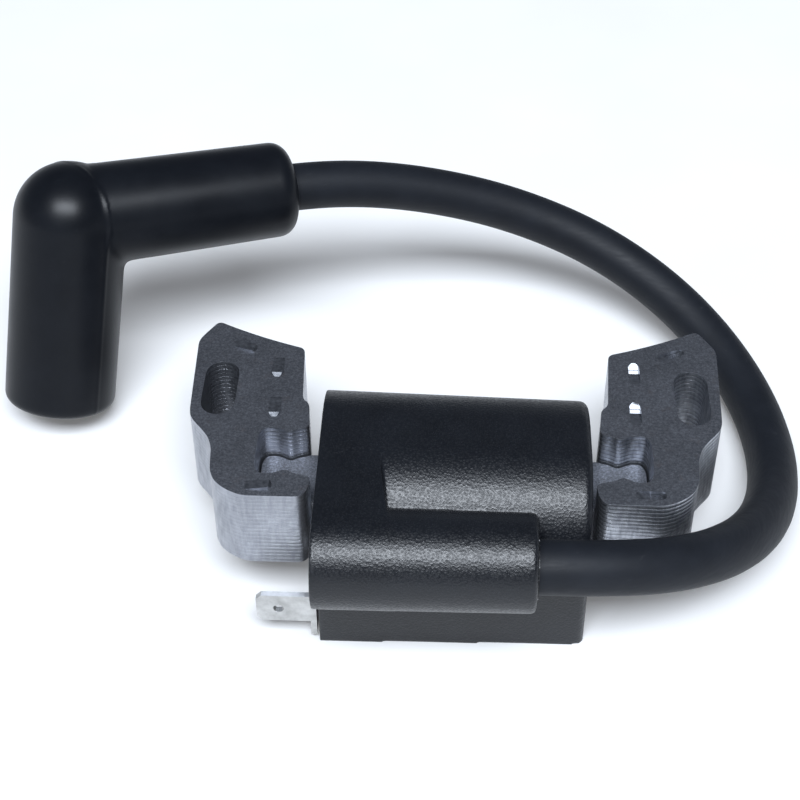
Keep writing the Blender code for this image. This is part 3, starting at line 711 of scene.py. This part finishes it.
def build_housing(plastic):
    body = outline_solid("housing", [body_outline()], HOUSING_LEFT - 1, HOUSING_RIGHT, "X")
    edit = bmesh.new()
    edit.from_mesh(body.data)
    bmesh.ops.dissolve_limit(edit, angle_limit=math.radians(0.5), verts=edit.verts, edges=edit.edges)
    edit.to_mesh(body.data)
    edit.free()
    bevel = body.modifiers.new("right_edge", "BEVEL")
    bevel.width = RIGHT_EDGE_ROUND * MM
    bevel.segments = 5
    bevel.limit_method = "WEIGHT"
    weights = body.data.attributes.new("bevel_weight_edge", "FLOAT", "EDGE")
    for edge, weight in zip(body.data.edges, weights.data):
        ends = [body.data.vertices[i].co for i in edge.vertices]
        at_right = all(end.x > (HOUSING_RIGHT - 0.01) * MM for end in ends)
        weight.value = 1.0 if at_right and max(end.z for end in ends) > 1 * MM else 0.0
    body = plain_mesh(body, "housing")
    taper(body)
    bridge = outline_solid("bridge", [bridge_outline()], HOUSING_LEFT - 1.5, BRIDGE_FRONT_X, "X")
    slant_right_face(bridge)
    tower = turned("tower", [(0.0, TOWER_MOUTH), (TOWER_RADIUS - 0.6, TOWER_MOUTH),
                             (TOWER_RADIUS - 0.2, TOWER_MOUTH - 0.15), (TOWER_RADIUS, TOWER_MOUTH - 0.5),
                             (TOWER_ROOT_RADIUS, HOUSING_LEFT + 2), (0.0, HOUSING_LEFT + 2)],
                   (0, TOWER_Y, TOWER_Z), Vector((1, 0, 0)), 128)
    body = combine(body, [bridge, tower], "UNION")
    along_x = Vector((1, 0, 0))
    beyond = block("beyond", (HOUSING_LEFT - 5, -40, -10), (HOUSING_LEFT, 40, 40))
    hollow = outline_solid("hollow", [body_outline(WALL)], HOUSING_LEFT - 2, HOUSING_RIGHT - WALL, "X")
    pocket = outline_solid("pocket", [bridge_outline(WALL)], HOUSING_LEFT - 2.5, BRIDGE_FRONT_X, "X")
    slant_right_face(pocket, WALL)
    bore_axis = (0, BORE_Y, BORE_Z)
    bore = rod("bore", BORE_RADIUS, BORE_BOTTOM, TOWER_MOUTH + 1, bore_axis, along_x)
    mouth_depth = TOWER_MOUTH - BORE_MOUTH_DEPTH
    mouth = rod("mouth", BORE_MOUTH_RADIUS, mouth_depth, TOWER_MOUTH + 1, bore_axis, along_x)
    half, low, high = BAR_HALF_WIDTH + BAR_CLEARANCE, CORE_BOTTOM - BAR_CLEARANCE, BAR_TOP + BAR_CLEARANCE
    bar_hole = block("bar_hole", (10, -half, low), (25, half, high))
    body = combine(body, [beyond, hollow, pocket, bore, mouth, bar_hole], "DIFFERENCE")
    body = remeshed(body, SKIN_VOXEL, 3)
    dress(body, [plastic])
    stand_for(body, "coil_housing")


def build_collar(nylon):
    """Pale end of the bobbin that shows around the core bar at the housing's open end."""
    def outline(margin):
        low, high, half = CORE_BOTTOM - margin, BAR_TOP + margin, BAR_HALF_WIDTH + margin
        return [(-half, low), (half, low), (half, high), (-half, high)]
    collar = outline_solid("bobbin_collar", [eased(outline(COLLAR_MARGIN), 0.3), outline(COLLAR_CLEARANCE)],
                           HOUSING_LEFT - 0.75, HOUSING_LEFT + 0.2, "X")
    collar = soften_edges(collar, 0.1, 60, 2)
    dress(collar, [nylon])
    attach(collar, "coil")


def build_lead(rubber):
    path = smooth_path(LEAD_ROUTE, 1.5)
    curve = bpy.data.curves.new("lead", "CURVE")
    curve.dimensions = "3D"
    curve.bevel_depth = LEAD_DIAMETER / 2 * MM
    curve.bevel_resolution = 12
    curve.use_fill_caps = True
    spline = curve.splines.new("POLY")
    spline.points.add(len(path) - 1)
    for point, at in zip(spline.points, path):
        point.co = (*(at * MM), 1.0)
    lead = bpy.data.objects.new("lead", curve)
    bpy.context.scene.collection.objects.link(lead)
    curve.materials.append(rubber)
    stand_for(lead, "ht_lead")


def boot_shell():
    """Outer skin of the boot less its two bores, before the rubber's soft details."""
    nose = [(CABLE_LEG_RADIUS - ENTRY_ROUND + x, CABLE_LEG_LENGTH - ENTRY_ROUND + y)
            for x, y in reversed(arc((0.0, 0.0), ENTRY_ROUND, 0, 90, 8))]
    lip = [(PLUG_LEG_RADIUS - MOUTH_ROUND + x, PLUG_LEG_LENGTH - MOUTH_ROUND + y)
           for x, y in reversed(arc((0.0, 0.0), MOUTH_ROUND, 0, 90, 6))]
    cable_leg = turned("boot", [(0.0, CABLE_LEG_LENGTH)] + nose
                       + [(CABLE_LEG_ROOT_RADIUS, 0.0), (0.0, 0.0)], BOOT_ELBOW, CABLE_LEG)
    plug_leg = turned("plug_leg", [(0.0, PLUG_LEG_LENGTH)] + lip + [(PLUG_LEG_RADIUS, 0.0), (0.0, 0.0)],
                      BOOT_ELBOW, PLUG_LEG)
    dome_angles = [math.radians(angle) for angle in range(90, -91, -3)]
    dome = turned("dome", [(PLUG_LEG_RADIUS * math.cos(a) if abs(math.cos(a)) > 1e-6 else 0.0,
                            PLUG_LEG_RADIUS * math.sin(a)) for a in dome_angles], BOOT_ELBOW, PLUG_LEG)
    boot = combine(cable_leg, [plug_leg, dome], "UNION")
    socket = rod("socket", SOCKET_RADIUS, -3.0, PLUG_LEG_LENGTH + 2, BOOT_ELBOW, PLUG_LEG)
    lead_bore = rod("lead_bore", BORE_RADIUS, -2.0, CABLE_LEG_LENGTH + 2, BOOT_ELBOW, CABLE_LEG)
    return combine(boot, [socket, lead_bore], "DIFFERENCE")


def fillet_elbow(boot, places):
    """Smooths the inner corner where the legs meet, and nothing else."""
    outside = np.linalg.norm(places - np.outer(places @ PLUG_LEG, PLUG_LEG), axis=1) - PLUG_LEG_RADIUS
    off_cable = np.linalg.norm(places - np.outer(places @ CABLE_LEG, CABLE_LEG), axis=1)
    off_cable -= CABLE_LEG_ROOT_RADIUS
    inner_side = places @ np.array((CABLE_LEG + PLUG_LEG).normalized())
    weights = 1.0 - (np.abs(outside) + np.abs(off_cable)) / FILLET_REACH
    weights *= np.clip(inner_side / 6.0, 0.0, 1.0)
    group = boot.vertex_groups.new(name="elbow")
    for index in np.flatnonzero(weights > 0.0):
        group.add([int(index)], float(min(1.0, 2.0 * weights[index])), "REPLACE")
    smooth = boot.modifiers.new("fillet", "SMOOTH")
    smooth.factor = 0.5
    smooth.iterations = 90
    smooth.vertex_group = "elbow"
    return plain_mesh(boot, boot.name)


def raise_parting_line(boot, places):
    """A low ridge where the mould halves met, over the dome and down the plug leg."""
    normal = np.array(PARTING_NORMAL)
    beside = places @ normal
    front = places @ np.cross(normal, PLUG_LEG)
    radial = places - np.outer(np.maximum(places @ PLUG_LEG, 0.0), PLUG_LEG)
    distance = np.linalg.norm(radial, axis=1)
    on_skin = np.abs(distance - PLUG_LEG_RADIUS) < 0.5
    on_skin &= (places @ PLUG_LEG) < PLUG_LEG_LENGTH - 0.6
    height = RIDGE_HEIGHT * np.exp(-(beside / RIDGE_WIDTH) ** 2) * np.clip(np.abs(front) / 2.0, 0.0, 1.0)
    height += STEP_HEIGHT / (1.0 + np.exp(np.clip(-beside / RIDGE_WIDTH * 3.0, -30, 30))) * (front > 0)
    moved = places + radial / np.maximum(distance, 1e-6)[:, None] * (height * on_skin)[:, None]
    moved = (moved + np.array(BOOT_ELBOW)) * MM
    boot.data.vertices.foreach_set("co", moved.ravel())
    boot.data.update()
    return boot


def build_boot(rubber):
    boot = remeshed(boot_shell(), SKIN_VOXEL, 4)
    for soften in (fillet_elbow, raise_parting_line):
        count = len(boot.data.vertices)
        places = np.empty(count * 3)
        boot.data.vertices.foreach_get("co", places)
        places = places.reshape(count, 3) / MM - np.array(BOOT_ELBOW)
        boot = soften(boot, places)
    boot.data.shade_smooth()
    dress(boot, [rubber])
    stand_for(boot, "plug_boot", "boot")


def finish_small_nodes(materials):
    """Materials for the CAD nodes that keep their shapes."""
    for node, material in materials.items():
        dress(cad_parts[node], [material])


def build_stage():
    """White table and backdrop, and one large soft light above the front."""
    edit = bmesh.new()
    bmesh.ops.create_grid(edit, x_segments=1, y_segments=1, size=3.0)
    mesh = bpy.data.meshes.new("floor")
    edit.to_mesh(mesh)
    edit.free()
    floor = add_mesh("floor", mesh)
    material, tree, shader = new_material("floor_white", 0.9, 0.0, 0.2)
    where = place(tree)
    tone = ramp(tree, noise(tree, where, 40.0), [(0.3, 0.71), (0.7, 0.75)])
    link(tree, tone, shader.inputs["Base Color"])
    shader.inputs["Emission Color"].default_value = (1.0, 1.0, 1.0, 1.0)
    shader.inputs["Emission Strength"].default_value = FLOOR_GLOW
    dress(floor, [material])

    light = bpy.data.lights.new("key_softbox", "AREA")
    light.shape = "RECTANGLE"
    light.size, light.size_y = KEY_SIZE
    light.energy = KEY_ENERGY
    light.color = (0.86, 0.92, 1.0)
    key = bpy.data.objects.new("key_softbox", light)
    bpy.context.scene.collection.objects.link(key)
    key.location = KEY_PLACE
    key.rotation_euler = (Vector(KEY_TARGET) - Vector(KEY_PLACE)).to_track_quat("-Z", "Y").to_euler()
    world = bpy.data.worlds.new("studio")
    bpy.context.scene.world = world
    world.use_nodes = True
    tree = world.node_tree
    coordinates = tree.nodes.new("ShaderNodeTexCoord")
    separate = tree.nodes.new("ShaderNodeSeparateXYZ")
    link(tree, coordinates.outputs["Generated"], separate.inputs["Vector"])
    sky = ramp(tree, separate.outputs["Z"], [(0.0, (0.34, 0.37, 0.42)), (0.2, (0.17, 0.19, 0.22)),
                                             (0.5, (0.08, 0.09, 0.11)), (1.0, (0.08, 0.09, 0.11))])
    link(tree, sky, tree.nodes["Background"].inputs["Color"])
    tree.nodes["Background"].inputs["Strength"].default_value = 1.0
    bpy.context.scene.view_settings.view_transform = "Standard"


def build_camera():
    data = bpy.data.cameras.new("camera")
    data.sensor_width = 36.0
    data.lens = CAMERA_LENS
    camera = bpy.data.objects.new("camera", data)
    bpy.context.scene.collection.objects.link(camera)
    camera.location = CAMERA_PLACE
    camera.rotation_mode = "XYZ"
    heading = Matrix.Rotation(math.radians(CAMERA_HEADING), 4, "Z")
    tilt = Matrix.Rotation(math.radians(CAMERA_TILT), 4, "X")
    roll = Matrix.Rotation(math.radians(CAMERA_ROLL), 4, "Z")
    camera.rotation_euler = (heading @ tilt @ roll).to_euler()
    data.clip_start, data.clip_end = 0.01, 20.0
    bpy.context.scene.camera = camera


build_camera()
seal = sealant_material()
build_boot(boot_material())
build_lead(lead_material())
build_housing(housing_material())
# The core bar's faces use a copy of the sheet steel made 1.7 times as light, a painted highlight on the
# bar's ends
sheet_face, bar_face_painted_highlight = sheet_face_material("sheet_face", 1.0), sheet_face_material("bar_face_painted_highlight", 1.7)
# Two copies of one sheared steel edge: the right arm's is brighter and has deeper painted seam shade, which
# paints the stronger light-caught stripes of that arm
left_edge = sheet_edge_material("sheet_edge_left", (0.33, 0.345, 0.385), (0.45, 0.465, 0.51), 0.1)
right_edge = sheet_edge_material("sheet_edge_right", (0.26, 0.275, 0.315), (0.62, 0.645, 0.7), 0.55)
# Bright copies of the steel for painted glints: this one for the right arm, the next, dimmer one for the
# left arm
painted_glint = cast_material("painted_glint_steel", (0.13, 0.137, 0.15), (0.3, 0.31, 0.335), 0.42, 0.4, 1.0)
painted_dim_glint = cast_material("painted_dim_glint_steel", (0.08, 0.084, 0.093), (0.24, 0.25, 0.27), 0.42, 0.4, 1.0)
# A dark copy of the steel for painted shade on dimple slopes that face away from the front and on the left
# slot's wall
painted_shade = cast_material("painted_shade_steel", (0.08, 0.085, 0.097), (0.17, 0.178, 0.2), 0.45, 0.6, 0.8)
build_sheets({"left": [sheet_face, left_edge, painted_dim_glint, painted_shade],
              "right": [sheet_face, right_edge, painted_glint, painted_shade]})
build_bar(bar_face_painted_highlight, left_edge)
build_collar(cast_material("collar_nylon", (0.25, 0.28, 0.33), (0.42, 0.45, 0.5), 0.45, 1.2))
tin, wire = tin_material(), winding_material()
bobbin = cast_material("bobbin_nylon", (0.42, 0.37, 0.28), (0.58, 0.53, 0.43), 0.5, 2.0)
brass = cast_material("brass", (0.5, 0.34, 0.12), (0.75, 0.56, 0.25), 0.33, 1.0, 0.9)
finish_small_nodes({
    "kill_terminal": tin, "ground_strap": tin, "lead_sealant": seal,
    "potting": cast_material("epoxy", (0.018, 0.016, 0.015), (0.035, 0.031, 0.028), 0.28, 4.0),
    "primary_bobbin": bobbin, "secondary_bobbin": bobbin, "trigger_bobbin": bobbin,
    "primary_winding": wire, "secondary_winding": wire, "trigger_winding": wire, "ht_link_wire": wire,
    "module_board": cast_material("board_green", (0.02, 0.1, 0.04), (0.05, 0.18, 0.07), 0.4, 1.5),
    "power_transistor": cast_material("transistor_black", (0.012,) * 3, (0.03,) * 3, 0.5, 0.8),
    "base_resistor": cast_material("resistor_tan", (0.4, 0.28, 0.15), (0.58, 0.44, 0.27), 0.4, 0.6),
    "ht_contact": brass, "plug_terminal": brass, "terminal_spike": brass,
})
build_stage()
